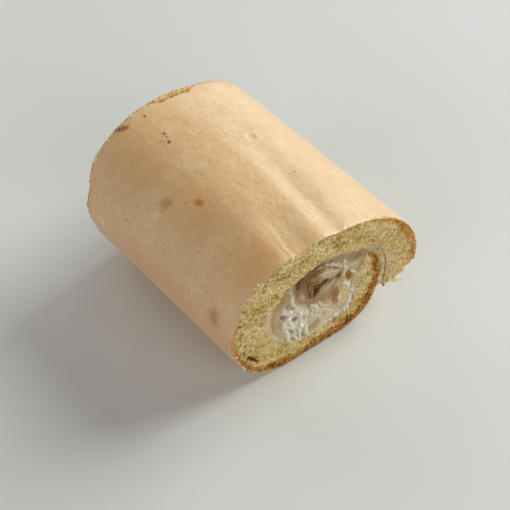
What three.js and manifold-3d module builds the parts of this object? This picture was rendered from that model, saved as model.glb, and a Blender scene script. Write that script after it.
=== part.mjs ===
// Swiss roll cake: one baked sponge sheet, crust side out, rolled a little over one turn round a
// core of whipped cream and soft fruit, then cut square across at both ends.
// Millimetres, +Z up, the roll's length along Y with the neater cut at -Y. The origin is the middle
// of the underside of the bounding box.

import * as THREE from 'three';
import { mergeVertices } from 'three/addons/utils/BufferGeometryUtils.js';
import Module from 'manifold-3d';

const wasm = await Module();
wasm.setup();

// ---- driving dimensions ----

const LENGTH = 82.6; // along the middle of the roll
const CENTRE_Y = -40.28; // the near cut's middle, measured from the box's middle
const NEAR_SKEW = -0.0734; // the near cut runs 4.2 degrees off square, nearer on the right
const FAR_SKEW = 0.025; // the far cut is almost square
const FAR_WIDER = 0.01; // the roll opens a little towards the far end
const FAR_TALLER = 0.056;
const FAR_DRIFT = -1.8; // and its middle wanders to the left

const HEART_X = -0.82; // the spiral's heart, which the angles below turn about
const HEART_Z = 28;

// The sheet, from the torn outer end of the flap to its inner tip. Angles are in degrees and turn
// from +X (right) over +Z (top): [angle, crust radius, inner radius].
const SHEET = [
  [-30, 46.5, 32.0], // below the flap, on the inner face only
  [-14, 44.2, 29.4], // flap, at the lower right
  [30, 37.0, 24.6], // right shoulder
  [55, 34.0, 19.6],
  [75, 32.7, 21.2],
  [97, 34.4, 22.2], // top
  [120, 37.7, 22.0],
  [145, 40.5, 23.4], // left shoulder
  [165, 40.1, 26.2],
  [182, 38.3, 24.0], // left side
  [206, 36.9, 21.7],
  [225, 35.0, 20.8],
  [247, 31.4, 18.8], // underside, pressed flat by the cake's own weight
  [270, 28.6, 18.0],
  [292, 30.9, 19.2],
  [310, 31.2, 20.2], // the sheet turns up inside the flap
  [329, 28.7, 15.6],
  [346, 26.5, 12.4],
  [368, 24.1, 13.9],
  [390, 22.2, 20.3], // inner tip, thinned to an edge
];
const CRUST_START = -14; // the flap's crust ends here
const INNER_START = -29; // and its inner face, torn further round, ends here
const SHEET_END = 390;
const FULL_TURN = 360;

const GAP = 0.3; // clearance between touching solids
const TIP_BRIDGE = 2; // degrees past the sheet's inner tip, where the cream turns back on itself
const HOLE_OVERRUN = 0.05; // of the length, by which the fruit's holes run past both cuts
const TORN_POINTS = 5; // along the flap's ragged torn end
const TORN_DOWN = 1.1; // how far its teeth hang down
const TORN_UP = 0.44; // and its notches bite in
const TORN_WAVE = 0.3; // the share by which that changes along the roll
const TORN_WAVES = 9; // radians of that wave over the whole length

// Two soft folds where the sheet was bent over the filling, deepest at the near cut. Angles and the
// half width are in degrees, turn is the angle a fold wanders by over the whole length, and it fades
// out between two shares of the length.
const FOLDS = [
  { angle: 85, turn: -18, wide: 7, deep: 0.8, fadeFrom: 0.2, fadeTo: 0.7 },
  { angle: 109, turn: -15, wide: 8, deep: 1.7, fadeFrom: -0.1, fadeTo: 0.42 },
];

// The fruit's lobed ovals: the middle, from the heart, the half sizes and the tilt in degrees.
const PULP = { x: -1.9, z: 9.6, wide: 11.0, high: 9.8, tilt: -6, lobes: 3, lobe: 0.05 };
const SLICE = { x: 9.8, z: -6.9, wide: 2.3, high: 6.2, tilt: 8, lobes: 2, lobe: 0.04 };

const ROUND_POINTS = 60; // points along each side of the sheet
const CORE_POINTS = 32;
const STATIONS = 10; // slices along the length

// ---- the sheet's shape ----

// A smooth curve through the stops' values in one column.
function between(stops, column, angle) {
  const last = stops.length - 1;
  let i = 0;
  while (i < last - 1 && angle > stops[i + 1][0]) i += 1;
  const slope = (k) => {
    const a = stops[Math.max(k - 1, 0)];
    const b = stops[Math.min(k + 1, last)];
    return (b[column] - a[column]) / (b[0] - a[0]);
  };
  const span = stops[i + 1][0] - stops[i][0];
  const u = THREE.MathUtils.clamp((angle - stops[i][0]) / span, 0, 1);
  const rise = stops[i + 1][column] - stops[i][column];
  const bend = (1 - u) * (slope(i) * span - rise) - u * (slope(i + 1) * span - rise);
  return stops[i][column] + u * rise + u * (1 - u) * bend;
}

const crustRadius = (angle) => between(SHEET, 1, angle);
const innerRadius = (angle) => between(SHEET, 2, angle);

// A point of the section, at a radius and angle about the heart, no lower than the underside.
function polar(radius, angle) {
  const a = THREE.MathUtils.degToRad(angle);
  const z = HEART_Z + radius * Math.sin(a);
  return new THREE.Vector2(HEART_X + radius * Math.cos(a), Math.max(z, 0));
}

// How deep the folds are at an angle and a share of the length.
function foldDepth(angle, along) {
  return FOLDS.reduce((depth, fold) => {
    const middle = fold.angle + fold.turn * along;
    const across = Math.exp(-(((angle - middle) / fold.wide) ** 2));
    const left = 1 - THREE.MathUtils.smoothstep(along, fold.fadeFrom, fold.fadeTo);
    return depth + fold.deep * across * left;
  }, 0);
}

// A run of points between two angles, ends included.
function run(count, from, to, pointAt) {
  const points = [];
  for (let i = 0; i < count; i += 1) {
    points.push(pointAt(from + ((to - from) * i) / (count - 1)));
  }
  return points;
}

// The ragged line across the flap's torn end, from its inner face out to its crust.
function tornEnd(along) {
  const inner = polar(innerRadius(INNER_START), INNER_START);
  const crust = polar(crustRadius(CRUST_START), CRUST_START);
  const points = [];
  for (let i = 1; i <= TORN_POINTS; i += 1) {
    const point = inner.clone().lerp(crust, i / (TORN_POINTS + 1));
    const tooth = i % 2 === 0 ? TORN_UP : -TORN_DOWN;
    point.y += tooth * (1 - TORN_WAVE + TORN_WAVE * Math.sin(TORN_WAVES * along + 2 * i));
    points.push(point);
  }
  return points;
}

function sheetSection(along) {
  const crust = run(ROUND_POINTS, CRUST_START, SHEET_END, (angle) =>
    polar(crustRadius(angle) - foldDepth(angle, along), angle));
  const inner = run(ROUND_POINTS, SHEET_END, INNER_START, (angle) => polar(innerRadius(angle), angle));
  return [...crust, ...inner, ...tornEnd(along)];
}

// The cream fills the sheet's inside, goes round its inner tip and down between tip and flap.
function creamSection() {
  const start = INNER_START + TIP_BRIDGE;
  const outside = run(ROUND_POINTS, start, SHEET_END, (angle) => polar(innerRadius(angle) - GAP, angle));
  const tip = polar((crustRadius(SHEET_END) + innerRadius(SHEET_END)) / 2, SHEET_END + TIP_BRIDGE);
  const back = run(CORE_POINTS / 2, SHEET_END, start + FULL_TURN, (angle) =>
    polar(crustRadius(angle) + GAP, angle));
  return [...outside, tip, ...back];
}

// A lobed oval of fruit, grown by an amount all round.
function fruitSection(fruit, grow) {
  const tilt = THREE.MathUtils.degToRad(fruit.tilt);
  return run(CORE_POINTS + 1, 0, FULL_TURN, (angle) => {
    const a = THREE.MathUtils.degToRad(angle);
    const lobe = 1 + fruit.lobe * Math.sin(fruit.lobes * a + 1);
    const point = new THREE.Vector2(
      (fruit.wide * lobe + grow) * Math.cos(a),
      (fruit.high * lobe + grow) * Math.sin(a));
    point.rotateAround(new THREE.Vector2(), tilt);
    return point.add(new THREE.Vector2(HEART_X + fruit.x, HEART_Z + fruit.z));
  }).slice(0, -1);
}

// ---- solids ----

// A point of the section carried to its place along the roll.
function carry(point, along) {
  const near = CENTRE_Y + NEAR_SKEW * point.x;
  const far = CENTRE_Y + LENGTH + FAR_SKEW * point.x;
  return new THREE.Vector3(
    point.x * (1 + FAR_WIDER * along) + FAR_DRIFT * along,
    THREE.MathUtils.lerp(near, far, along),
    point.y * (1 + FAR_TALLER * along));
}

// A closed solid through sections that turn anticlockwise, seen from the near end.
function loft(sectionAt, overrun = 0) {
  const sections = [];
  const places = [];
  for (let k = 0; k <= STATIONS; k += 1) {
    const along = -overrun + ((1 + 2 * overrun) * k) / STATIONS;
    const section = sectionAt(along);
    sections.push(section);
    section.forEach((point) => places.push(...carry(point, along).toArray()));
  }
  const ring = sections[0].length;
  const faces = [];
  for (let k = 0; k < STATIONS; k += 1) {
    for (let i = 0; i < ring; i += 1) {
      const a = k * ring + i;
      const b = k * ring + ((i + 1) % ring);
      faces.push(a, a + ring, b, b, a + ring, b + ring);
    }
  }
  const top = STATIONS * ring;
  for (const [a, b, c] of THREE.ShapeUtils.triangulateShape(sections[0], [])) faces.push(a, b, c);
  for (const [a, b, c] of THREE.ShapeUtils.triangulateShape(sections[STATIONS], [])) {
    faces.push(top + a, top + c, top + b);
  }
  const geometry = new THREE.BufferGeometry();
  geometry.setAttribute('position', new THREE.Float32BufferAttribute(places, 3));
  geometry.setIndex(faces);
  return geometry;
}

function toManifold(geometry) {
  const merged = mergeVertices(geometry);
  return new wasm.Manifold(new wasm.Mesh({
    numProp: 3,
    vertProperties: merged.attributes.position.array,
    triVerts: new Uint32Array(merged.index.array),
  }));
}

function fromManifold(solid) {
  const mesh = solid.getMesh();
  const geometry = new THREE.BufferGeometry();
  geometry.setAttribute('position', new THREE.BufferAttribute(mesh.vertProperties, 3));
  geometry.setIndex(new THREE.BufferAttribute(mesh.triVerts, 1));
  return geometry;
}

// ---- the cake ----

const group = new THREE.Group();

function add(name, geometry, color, roughness) {
  geometry.computeVertexNormals();
  const material = new THREE.MeshStandardMaterial({ color, roughness, metalness: 0 });
  const mesh = new THREE.Mesh(geometry, material);
  mesh.name = name;
  group.add(mesh);
}

function sponge() {
  add('sponge_sheet', loft(sheetSection), 0xd8b07a, 0.9);
}

function cream() {
  const holes = [PULP, SLICE].map((fruit) =>
    toManifold(loft(() => fruitSection(fruit, GAP), HOLE_OVERRUN)));
  const solid = holes.reduce((body, hole) => body.subtract(hole), toManifold(loft(creamSection)));
  add('cream_filling', fromManifold(solid), 0xd9cbb4, 0.45);
}

function fruit() {
  add('fruit_core', loft(() => fruitSection(PULP, 0)), 0xa5865f, 0.6);
  add('fruit_slice', loft(() => fruitSection(SLICE, 0)), 0xd6c08c, 0.55);
}

sponge();
cream();
fruit();

export default group;
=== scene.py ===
"""A short length of swiss roll: a browned sponge sheet rolled round whipped cream and soft fruit.

Sizes are in millimetres until a mesh is made. Angles are in degrees about the roll's heart, from +X
over +Z, and "along" runs from 0 at the near cut to 1 at the far cut.
"""
import math

import bpy
import numpy as np
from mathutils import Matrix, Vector, noise


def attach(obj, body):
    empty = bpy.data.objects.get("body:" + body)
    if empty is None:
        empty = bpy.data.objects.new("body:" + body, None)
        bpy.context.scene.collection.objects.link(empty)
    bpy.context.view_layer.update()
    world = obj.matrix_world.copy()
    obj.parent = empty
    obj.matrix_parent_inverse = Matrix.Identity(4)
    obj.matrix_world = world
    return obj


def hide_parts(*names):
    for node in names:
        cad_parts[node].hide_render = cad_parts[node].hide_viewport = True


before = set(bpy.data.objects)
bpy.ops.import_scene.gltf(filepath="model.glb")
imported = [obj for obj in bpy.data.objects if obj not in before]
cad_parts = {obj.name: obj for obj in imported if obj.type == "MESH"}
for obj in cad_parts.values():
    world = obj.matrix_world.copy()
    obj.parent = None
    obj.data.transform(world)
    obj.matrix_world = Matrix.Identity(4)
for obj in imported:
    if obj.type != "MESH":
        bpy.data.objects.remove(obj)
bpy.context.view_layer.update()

MM = 0.001  # in metres

# ---- the roll, as it is built ----

LENGTH = 82.6
CENTRE_Y = -40.28
NEAR_SKEW = -0.0734
FAR_SKEW = 0.025
FAR_WIDER = 0.01
FAR_TALLER = 0.056
FAR_DRIFT = -1.8
HEART_X = -0.82
HEART_Z = 28.0

# The rolled sheet: angle, radius of its crust, radius of its inner face.
SHEET = np.array([
    (-30, 46.5, 32.0),
    (-14, 44.2, 29.4),  # the flap's torn end
    (30, 37.0, 24.6),
    (55, 34.0, 19.6),
    (75, 32.7, 21.2),
    (97, 34.4, 22.2),  # top
    (120, 37.7, 22.0),
    (145, 40.5, 23.4),
    (165, 40.1, 26.2),
    (182, 38.3, 24.0),  # left side
    (206, 36.9, 21.7),
    (225, 35.0, 20.8),
    (247, 31.4, 18.8),  # flat underside
    (270, 28.6, 18.0),
    (292, 30.9, 19.2),
    (310, 31.2, 20.2),
    (329, 28.7, 15.6),  # inside the flap
    (346, 26.5, 12.4),
    (368, 24.1, 13.9),
    (390, 22.2, 20.3),  # inner tip
])
CRUST_START = -14
INNER_START = -29
SHEET_END = 390
FULL_TURN = 360

# Soft folds: angle at the near cut, degrees turned by the far cut, half width, depth, where they fade out.
FOLDS = (
    (85.0, -18.0, 7.0, 0.8, 0.20, 0.70),
    (109.0, -15.0, 8.0, 1.7, -0.10, 0.42),
)

PULP = dict(x=-1.9, z=9.6, wide=11.0, high=9.8, tilt=-6, lobes=3, lobe=0.05)
SLICE = dict(x=9.8, z=-6.9, wide=2.3, high=6.2, tilt=8, lobes=2, lobe=0.04)


def between(column, angle):
    """One of the sheet's radii at these angles, smooth through the stops."""
    at, value = SHEET[:, 0], SHEET[:, column]
    ahead = np.append(np.arange(1, len(at)), len(at) - 1)
    behind = np.append(0, np.arange(len(at) - 1))
    slope = (value[ahead] - value[behind]) / (at[ahead] - at[behind])
    i = np.clip(np.searchsorted(at, angle) - 1, 0, len(at) - 2)
    span, rise = at[i + 1] - at[i], value[i + 1] - value[i]
    u = np.clip((angle - at[i]) / span, 0, 1)
    bend = (1 - u) * (slope[i] * span - rise) - u * (slope[i + 1] * span - rise)
    return value[i] + u * rise + u * (1 - u) * bend


def polar(radius, angle):
    """Section x and z at a radius and angle about the heart, no lower than the underside."""
    a = np.radians(angle)
    return HEART_X + radius * np.cos(a), np.maximum(HEART_Z + radius * np.sin(a), 0)


def smoothstep(value, low, high):
    """0 below low, 1 above high, and a smooth rise between them."""
    u = np.clip((value - low) / (high - low), 0, 1)
    return u * u * (3 - 2 * u)


def fold_depth(angle, along, folds=FOLDS):
    """How deep the folds are."""
    depth = 0
    for at_angle, turn, wide, deep, fade_from, fade_to in folds:
        across = np.exp(-(((angle - at_angle - turn * along) / wide) ** 2))
        depth = depth + deep * across * (1 - smoothstep(along, fade_from, fade_to))
    return depth


def carry(x, z, along, lift=0):
    """Section points carried to their places along the roll, lift being how far out of a cut they stand."""
    near = CENTRE_Y + NEAR_SKEW * x
    far = CENTRE_Y + LENGTH + FAR_SKEW * x
    outward = np.where(along < 0.5, -lift, lift)
    return np.stack([
        x * (1 + FAR_WIDER * along) + FAR_DRIFT * along,
        near + (far - near) * along + outward,
        z * (1 + FAR_TALLER * along),
    ], -1)


def rough(places, size, seed, octaves=3):
    """Natural unevenness of about -1 to 1 whose largest bumps are size apart."""
    shift = Vector((13.1, 7.7, 3.3)) * seed
    return np.array([noise.fractal(Vector(p) + shift, 1.0, 2.0, octaves) for p in places / size])


def even_angles(column, first, last, spacing):
    """Angles whose points on one face of the sheet are evenly spaced."""
    fine = np.linspace(first, last, 3000)
    x, z = polar(between(column, fine), fine)
    length = np.append(0, np.cumsum(np.hypot(np.diff(x), np.diff(z))))
    steps = max(2, round(length[-1] / spacing))
    return np.interp(np.linspace(0, length[-1], steps + 1), length, fine)


# ---- meshes ----

def block_skin(*lines):
    """The six gridded faces of a block of lines a x b x c: each vertex's three values, and the quads."""
    rows, quads, start = [], [], 0
    for axis in range(3):
        u, v = [lines[k] for k in range(3) if k != axis]
        for end in (0, -1):
            grid = np.stack(np.meshgrid(u, v, indexing="ij"), -1).reshape(-1, 2)
            rows.append(np.insert(grid, axis, lines[axis][end], axis=1))
            index = np.arange(len(grid)).reshape(len(u), len(v)) + start
            quad = np.stack([index[:-1, :-1], index[1:, :-1], index[1:, 1:], index[:-1, 1:]], -1)
            quad = quad.reshape(-1, 4)
            quads.append(quad[:, ::-1] if (end == 0) == (axis != 1) else quad)
            start += len(grid)
    rows, back = np.unique(np.round(np.concatenate(rows), 9), axis=0, return_inverse=True)
    return rows, back.reshape(-1)[np.concatenate(quads)]


def faces_out(places, faces):
    """The faces, turned over if the closed shape they make is inside out."""
    a, b, c = (places[faces[:, k]] for k in range(3))
    volume = np.einsum("ij,ij->i", a, np.cross(b, c)).sum()
    return faces[:, ::-1] if volume < 0 else faces


def piece(name, places, faces, material, **fields):
    """A mesh object of these places in millimetres, with a value for each vertex in every field."""
    mesh = bpy.data.meshes.new(name)
    mesh.from_pydata((places * MM).tolist(), [], [f.tolist() for f in faces])
    for field, values in fields.items():
        layer = mesh.attributes.new(field, "FLOAT", "POINT")
        layer.data.foreach_set("value", np.asarray(values, np.float32))
    mesh.polygons.foreach_set("use_smooth", [True] * len(mesh.polygons))
    mesh.materials.append(material)
    made = bpy.data.objects.new(name, mesh)
    bpy.context.collection.objects.link(made)
    return made


def add(tree, kind, inputs=None, **settings):
    """Adds a node with its settings, and each input set to a value or linked to a socket.

    An input goes by name, or by number where names repeat. A Map Range has its value at 0, the range it
    comes from at 1 and 2 and the range it goes to at 3 and 4. A colour Mix has its share at 0 and its
    colours at 6 and 7, and gives its result at 2.
    """
    node = tree.nodes.new(kind)
    for name, value in settings.items():
        setattr(node, name, value)
    for key, value in (inputs or {}).items():
        if isinstance(value, bpy.types.NodeSocket):
            tree.links.new(value, node.inputs[key])
        else:
            node.inputs[key].default_value = value
    return node


def new_geometry_tree(name, **sizes):
    """An empty Geometry Nodes tree with a geometry in and out and a named input for each size."""
    tree = bpy.data.node_groups.new(name, "GeometryNodeTree")
    tree.interface.new_socket("Geometry", in_out="INPUT", socket_type="NodeSocketGeometry")
    tree.interface.new_socket("Geometry", in_out="OUTPUT", socket_type="NodeSocketGeometry")
    tree.interface.new_socket("Material", in_out="INPUT", socket_type="NodeSocketMaterial")
    for size, value in sizes.items():
        tree.interface.new_socket(size, in_out="INPUT", socket_type="NodeSocketFloat").default_value = value
    return tree, add(tree, "NodeGroupInput")


def run_tree(made, tree, material):
    """Runs a tree on a piece and gives it the plain mesh that results, all of one material."""
    modifier = made.modifiers.new(tree.name, "NODES")
    modifier.node_group = tree
    modifier[tree.interface.items_tree["Material"].identifier] = material
    bpy.context.view_layer.update()
    depsgraph = bpy.context.evaluated_depsgraph_get()
    mesh = bpy.data.meshes.new_from_object(made.evaluated_get(depsgraph), depsgraph=depsgraph)
    made.modifiers.remove(modifier)
    mesh.name = made.name
    mesh.materials.clear()
    mesh.materials.append(material)
    mesh.polygons.foreach_set("material_index", [0] * len(mesh.polygons))
    made.data = mesh
    return made


# ---- materials ----

def colour(code):
    """An sRGB hex colour as linear values."""
    parts = [int(code[k:k + 2], 16) / 255 for k in (1, 3, 5)]
    return (*[p / 12.92 if p <= 0.04045 else ((p + 0.055) / 1.055) ** 2.4 for p in parts], 1)


def new_material(name, **settings):
    """A material whose shader has these constant settings: its tree, shader and object coordinates."""
    material = bpy.data.materials.new(name)
    material.use_nodes = True
    tree = material.node_tree
    shader = tree.nodes["Principled BSDF"]
    for key, value in settings.items():
        shader.inputs[key.replace("_", " ")].default_value = value
    return material, tree, shader, add(tree, "ShaderNodeTexCoord").outputs["Object"]


def lay(tree, ground, *tints):
    """A ground colour with tints laid over it, each as strongly as a socket or a named field says."""
    for amount, code in tints:
        if isinstance(amount, str):
            amount = add(tree, "ShaderNodeAttribute", attribute_name=amount).outputs["Fac"]
        mix = add(tree, "ShaderNodeMix", {0: amount, 6: ground, 7: colour(code)}, data_type="RGBA")
        ground = mix.outputs[2]
    return ground


def patches(tree, where, size, low, high, most=1.0):
    """How strongly soft patches of a size in millimetres show: none below low, the most above high."""
    pattern = add(tree, "ShaderNodeTexNoise", {"Vector": where, "Scale": 1 / (size * MM), "Detail": 3.0})
    levels = {0: pattern.outputs[0], 1: low, 2: high, 3: 0.0, 4: most}
    return add(tree, "ShaderNodeMapRange", levels, interpolation_type="SMOOTHSTEP").outputs[0]


def roughen(tree, shader, where, size, height, strength):
    """Bump too fine to model: grain of a size and height in millimetres."""
    grain = add(tree, "ShaderNodeTexNoise", {"Vector": where, "Scale": 1 / (size * MM), "Detail": 3.0})
    bump = add(tree, "ShaderNodeBump",
               {"Height": grain.outputs[0], "Strength": strength, "Distance": height * MM})
    tree.links.new(bump.outputs[0], shader.inputs["Normal"])


def crust_material():
    """Baked sponge skin, dried against the oven's heat: smooth, thin and faintly shiny, softly mottled."""
    material, tree, shader, where = new_material(
        "baked sponge skin", Roughness=0.47, IOR=1.5, Specular_IOR_Level=1.0,
        Sheen_Weight=0.2, Sheen_Roughness=0.4)
    shown = lay(
        tree, colour("#e8bc84"),
        (patches(tree, where, 18, 0.35, 0.66, 0.55), "#ddae75"),
        (patches(tree, where, 5, 0.42, 0.7, 0.45), "#efcb96"),
        (patches(tree, where, 1.0, 0.5, 0.72, 0.42), "#cb935a"),
        ("tanned", "#e6a55b"),
        ("rim", "#c98b42"),
        ("browned", "#b3702c"),
        ("torn", "#c08840"),
        ("pale", "#f6e3c6"),
        # Painted shade inside the skin's holes; the same tint darkens specks over the torn strip.
        ("hole", "#55300f"),
        ("scorched", "#862f0c"),
    )
    tree.links.new(shown, shader.inputs["Base Color"])
    roughen(tree, shader, where, 0.9, 0.20, 0.60)
    return material


def crumb_material():
    """Open egg sponge where the knife went through: dry and yellow, paler on its torn edges, with painted
    shade in the gaps of its crumb and a painted highlight on its ridges.
    """
    material, tree, shader, where = new_material(
        "cut egg sponge", Roughness=0.85, IOR=1.4, Specular_IOR_Level=0.2,
        Subsurface_Weight=0.15, Subsurface_Scale=0.001)
    shader.inputs["Subsurface Radius"].default_value = (1.0, 0.75, 0.35)
    soft = lay(
        tree, colour("#e1bf75"),
        (patches(tree, where, 4.5, 0.35, 0.65), "#e9c982"),
        # Painted shade darkens the crumb's gaps and a painted highlight lights its ridges.
        ("gap_shade", "#a47a36"),
        ("ridge", "#fff0c2"),
    )
    # Toasted and brown crumb, each with the same painted shade in its gaps and painted highlight on its
    # ridges.
    tan = lay(tree, colour("#d6933f"), ("gap_shade", "#a56622"), ("ridge", "#eebb69"))
    brown = lay(
        tree, colour("#a9722d"),
        (patches(tree, where, 1.2, 0.42, 0.6), "#7d4d1b"),
        ("gap_shade", "#50300f"),
        ("ridge", "#ddb067"),
    )
    baked = add(tree, "ShaderNodeAttribute", attribute_name="baked").outputs["Fac"]
    first = add(tree, "ShaderNodeMapRange", {0: baked, 1: 0.0, 2: 0.5}).outputs[0]
    then = add(tree, "ShaderNodeMapRange", {0: baked, 1: 0.5, 2: 1.0}).outputs[0]
    toast = add(tree, "ShaderNodeMix", {0: first, 6: soft, 7: tan}, data_type="RGBA").outputs[2]
    mixed = add(tree, "ShaderNodeMix", {0: then, 6: toast, 7: brown}, data_type="RGBA").outputs[2]
    # The slot tint is painted shade in the slit where a bubble was.
    shown = lay(tree, mixed, ("slot", "#80450f"), ("creamy", "#ddc9a6"))
    tree.links.new(shown, shader.inputs["Base Color"])
    roughen(tree, shader, where, 0.55, 0.3, 0.7)
    return material


def cream_material():
    """Whipped dairy cream, wiped smooth by the knife at one side and torn to foam at the other."""
    material, tree, shader, where = new_material(
        "whipped cream", IOR=1.45, Specular_IOR_Level=0.5, Subsurface_Weight=0.5, Subsurface_Scale=0.0015)
    shader.inputs["Subsurface Radius"].default_value = (1.0, 0.8, 0.55)
    shown = lay(
        tree, colour("#d2b684"),
        (patches(tree, where, 4, 0.35, 0.65), "#dcc292"),
        ("clear", "#e4cb94"),
        # Cream dull or tinged by the fruit, and painted shadow under the sponge's overhanging edge.
        ("stain", "#a67f4e"),
        ("soaked", "#a06c2c"),
        ("crumbed", "#d9ba74"),
        ("foam", "#fbf3df"),
        # Painted shade in the foam's sunk hollows; the same tint gives dark flecks over the foam and darker
        # patches in the shut seam.
        ("hollow", "#a9875f"),
        ("pit", "#bd8417"),
    )
    tree.links.new(shown, shader.inputs["Base Color"])
    foam = add(tree, "ShaderNodeAttribute", attribute_name="foam").outputs["Fac"]
    dullness = add(tree, "ShaderNodeMapRange", {0: foam, 3: 0.42, 4: 0.6})
    tree.links.new(dullness.outputs[0], shader.inputs["Roughness"])
    roughen(tree, shader, where, 0.8, 0.15, 0.3)
    return material


def pulp_material():
    """Ripe fruit pulp, browned by the air: soft, wet and fibrous, with painted shade, nearly black, in its
    seams.
    """
    material, tree, shader, where = new_material(
        "browned fruit pulp", Roughness=0.4, IOR=1.4, Specular_IOR_Level=0.38,
        Subsurface_Weight=0.2, Subsurface_Scale=0.001)
    shader.inputs["Subsurface Radius"].default_value = (1.0, 0.6, 0.3)
    drawn = add(tree, "ShaderNodeMapping",
                {"Vector": where, "Rotation": (0, 0.7, 0), "Scale": (0.45, 1, 1.6)})
    shown = lay(
        tree, colour("#ab8043"),
        (patches(tree, drawn.outputs[0], 1.8, 0.40, 0.60), "#7e5225"),
        (patches(tree, drawn.outputs[0], 0.9, 0.48, 0.66, 0.7), "#c9a66f"),
        ("pale", "#d6bd90"),
        ("ruddy", "#95682c"),
        # Cream over the pulp, and one painted highlight along the fold at its left edge.
        ("white", "#f1e4c8"),
        # Painted shade in the pulp's creases, and part of the painted shadow under the sponge's edge.
        ("seam", "#56240f"),
    )
    tree.links.new(shown, shader.inputs["Base Color"])
    roughen(tree, shader, drawn.outputs[0], 0.9, 0.3, 0.35)
    return material


def flesh_material():
    """Firm yellow fruit, wet and slightly clear, with cream clinging round it."""
    material, tree, shader, where = new_material(
        "yellow fruit flesh", Roughness=0.35, IOR=1.4, Specular_IOR_Level=0.5,
        Subsurface_Weight=0.35, Subsurface_Scale=0.0015)
    shader.inputs["Subsurface Radius"].default_value = (1.0, 0.8, 0.35)
    shown = lay(
        tree, colour("#eccd92"),
        (patches(tree, where, 2.5, 0.4, 0.65, 0.6), "#f6dda4"),
        ("white", "#fdeec6"),
    )
    tree.links.new(shown, shader.inputs["Base Color"])
    roughen(tree, shader, where, 0.9, 0.2, 0.3)
    return material


def floor_material():
    """White lacquered board, faintly uneven in tone."""
    material, tree, shader, where = new_material("white lacquered board", Roughness=0.5)
    shown = lay(tree, colour("#dddbd6"), (patches(tree, where, 300, 0.3, 0.7), "#e0ded9"))
    tree.links.new(shown, shader.inputs["Base Color"])
    return material


# ---- the crust ----

SURFACE_RADIUS = 37.0  # the roll's usual radius, for turning angles to lengths
SKIN_END = 348  # the angle to which the skin goes on, a little way in under the flap
TURNS_UNDER = 205  # the angle past which the skin faces the table
FINE, COARSE = 0.43, 0.8  # how far apart the skin's points are before and past that angle

# Holes through the skin, each sunk and painted dark inside as its shade: angle, along, radius, depth.
HOLES = (
    (111.0, 0.820, 0.50, 0.9),
    (112.8, 0.771, 0.60, 1.1),
    (112.5, 0.831, 0.35, 0.5),
    (113.2, 0.808, 0.30, 0.4),
    (111.6, 0.798, 0.40, 0.6),
    (115.2, 0.798, 0.30, 0.5),
    (114.2, 0.785, 0.25, 0.4),
    (106.0, 0.757, 0.25, 0.3),
    (105.5, 0.672, 0.35, 0.4),
    (111.1, 0.950, 0.45, 0.8),
    (70.1, 0.357, 0.40, 0.9),
    (70.5, 0.250, 0.30, 0.3),
    (60.3, 0.019, 0.35, 0.5),
    (41.3, 0.026, 0.35, 0.5),
    (135.0, 0.558, 0.30, 0.4),
    (138.3, 0.585, 0.25, 0.3),
    (129.5, 0.500, 0.25, 0.4),
    (140.5, 0.268, 0.20, 0.3),
)
# Soft marks: field, angle, along, half width round the roll, half length along it, strength.
MARKS = (
    ("browned", 125.0, 0.455, 1.3, 1.9, 0.90),
    ("browned", 136.0, 0.563, 2.6, 2.2, 0.50),
    ("browned", 164.5, 0.115, 4.6, 3.2, 0.65),
    ("browned", 156.4, 0.700, 0.4, 1.1, 0.9),
    ("tanned", 131.0, 0.080, 11.0, 11.0, 0.60),
    ("tanned", 126.0, 0.450, 8.0, 16.0, 0.50),
    ("tanned", 126.0, 0.850, 9.0, 18.0, 0.45),
    ("tanned", 176.0, 0.550, 8.0, 46.0, 0.35),
    ("scorched", 127.0, 0.995, 1.1, 1.2, 1.0),
    ("scorched", 125.0, 0.984, 1.2, 1.4, 1.0),
    ("scorched", 123.0, 0.973, 1.2, 1.4, 1.0),
    ("scorched", 121.2, 0.963, 0.9, 1.0, 0.9),
    ("pale", 174.6, 0.880, 1.4, 1.1, 0.9),
    ("pale", 172.2, 0.897, 1.2, 1.1, 0.9),
    ("pale", 128.5, 0.470, 0.5, 0.6, 0.5),
    ("pale", 115.0, 0.414, 0.4, 0.5, 0.5),
    ("pale", 101.0, 0.306, 0.5, 0.6, 0.5),
    ("pale", 121.9, 0.183, 0.6, 0.9, 0.4),
    ("pale", 118.4, 0.648, 0.5, 0.8, 0.6),
    ("pale", 116.5, 0.600, 0.4, 1.6, 0.3),
    ("pale", 118.0, 0.570, 0.3, 1.0, 0.3),
    ("pale", 99.4, 0.648, 0.5, 0.5, 0.5),
    ("pale", 117.6, 0.782, 0.5, 0.8, 0.4),
    # The last one darkens the dimple with painted shade.
    ("browned", 71.3, 0.612, 1.6, 1.5, 0.14),
)
# Creases too fine for the CAD, given in the way of FOLDS: a negative depth stands out.
WRINKLES = (
    (120.0, -14.0, 8.0, -0.20, 0.10, 0.45),
    (112.5, -15.0, 1.7, 0.22, 0.05, 0.30),
    (116.5, -22.0, 1.4, 0.18, 0.03, 0.25),
    (94.0, -19.0, 6.0, -0.15, 0.30, 0.65),
)
DIMPLE = dict(angle=71.3, along=0.612, half_round=2.0, half_along=1.9, deep=0.32)
SKIN_THICKNESS = 1.5  # deeper than the deepest hole, and tucked into the crumb
SKIN_EDGE = 0.4  # its thickness at the cuts


def reach(angle, along, at_angle, at_along, half_round, half_along):
    """How many half sizes away from a spot on the skin each point is."""
    round_way = (angle - at_angle) * math.pi / 180 * SURFACE_RADIUS / half_round
    return np.hypot(round_way, (along - at_along) * LENGTH / half_along)


def far_dip(angle):
    """How far short of its true line the far cut falls, where the knife dragged."""
    return 1.9 * np.exp(-(((angle - 161) / 9) ** 2))


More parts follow.
